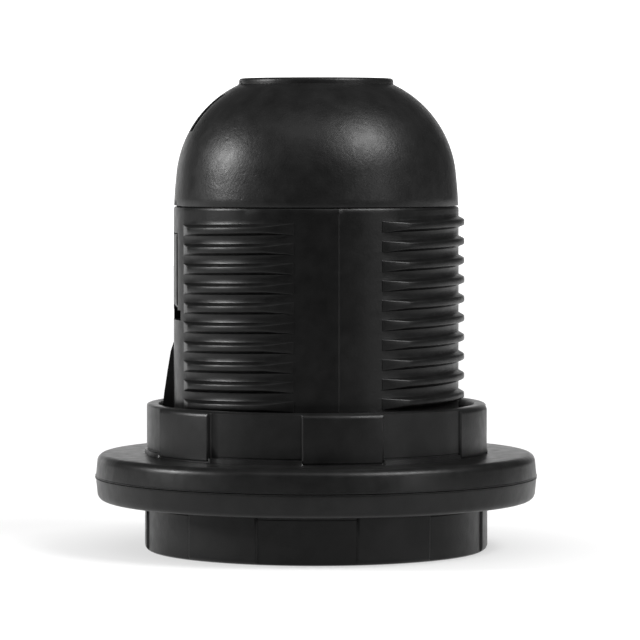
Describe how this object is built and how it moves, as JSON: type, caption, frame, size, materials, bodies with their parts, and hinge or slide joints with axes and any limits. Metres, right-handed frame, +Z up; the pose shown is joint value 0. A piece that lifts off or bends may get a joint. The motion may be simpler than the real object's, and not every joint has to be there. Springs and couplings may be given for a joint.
{
  "type": "lamp holder",
  "caption": "Black plastic E27 lamp holder with domed snap-fit cap, half-threaded skirt and screw-on shade rings mounted flange to flange.",
  "frame": {"origin": "centre of the lower shade ring's rim, on which the holder stands mouth down", "axes": "+Z up the lamp's axis through the dome, -Y and +Y through the plain panels with the mould's parting lines, -X and +X through the snap windows"},
  "size_m": [0.058, 0.058, 0.0616],
  "materials": {
    "cap_plastic": "moulded, semi-matte",
    "skirt_plastic": "moulded, semi-matte",
    "ring_plastic": "moulded, semi-matte",
    "carrier_plastic": "moulded thermoset",
    "shell_metal": "zinc plated, rolled",
    "brass": "stamped",
    "spring_bronze": "bright rolled strip",
    "zinc_steel": "bright zinc plate"
  },
  "bodies": {
    "holder": {"threaded_skirt": "skirt_plastic", "dome_cap": "cap_plastic", "contact_carrier": "carrier_plastic", "screw_shell": "shell_metal", "shell_rivet_left": "brass", "shell_rivet_right": "brass", "leaf_rivet": "brass", "neutral_strip": "brass", "live_strip": "brass", "neutral_washer": "zinc_steel", "live_washer": "zinc_steel", "centre_leaf": "spring_bronze", "entry_bush": "zinc_steel"},
    "upper_ring": {"upper_shade_ring": "ring_plastic"},
    "lower_ring": {"lower_shade_ring": "ring_plastic"},
    "neutral_screw": {"neutral_screw": "zinc_steel"},
    "live_screw": {"live_screw": "zinc_steel"},
    "lock_screw": {"lock_screw": "zinc_steel"},
    "contact_button": {"contact_button": "brass"}
  },
  "joints": [
    {"name": "upper_ring_turn", "type": "hinge", "parent": "holder", "child": "upper_ring", "pos_m": [0, 0, 0.0144], "axis": [0, 0, 1], "continuous": true},
    {"name": "lower_ring_turn", "type": "hinge", "parent": "holder", "child": "lower_ring", "pos_m": [0, 0, 0.0048], "axis": [0, 0, 1], "continuous": true},
    {"name": "neutral_screw_turn", "type": "hinge", "parent": "holder", "child": "neutral_screw", "pos_m": [0, 0.0074, 0.033], "axis": [0, 0, 1], "continuous": true},
    {"name": "live_screw_turn", "type": "hinge", "parent": "holder", "child": "live_screw", "pos_m": [0, -0.0102, 0.033], "axis": [0, 0, 1], "continuous": true},
    {"name": "lock_screw_turn", "type": "hinge", "parent": "holder", "child": "lock_screw", "pos_m": [-0.007, 0, 0.057], "axis": [-1, 0, 0], "continuous": true},
    {"name": "contact_button_press", "type": "slide", "parent": "holder", "child": "contact_button", "axis": [0, 0, 1], "range_m": [0, 0.0012], "stiffness_N_per_m": 2500, "deforming": ["centre_leaf"]}
  ]
}
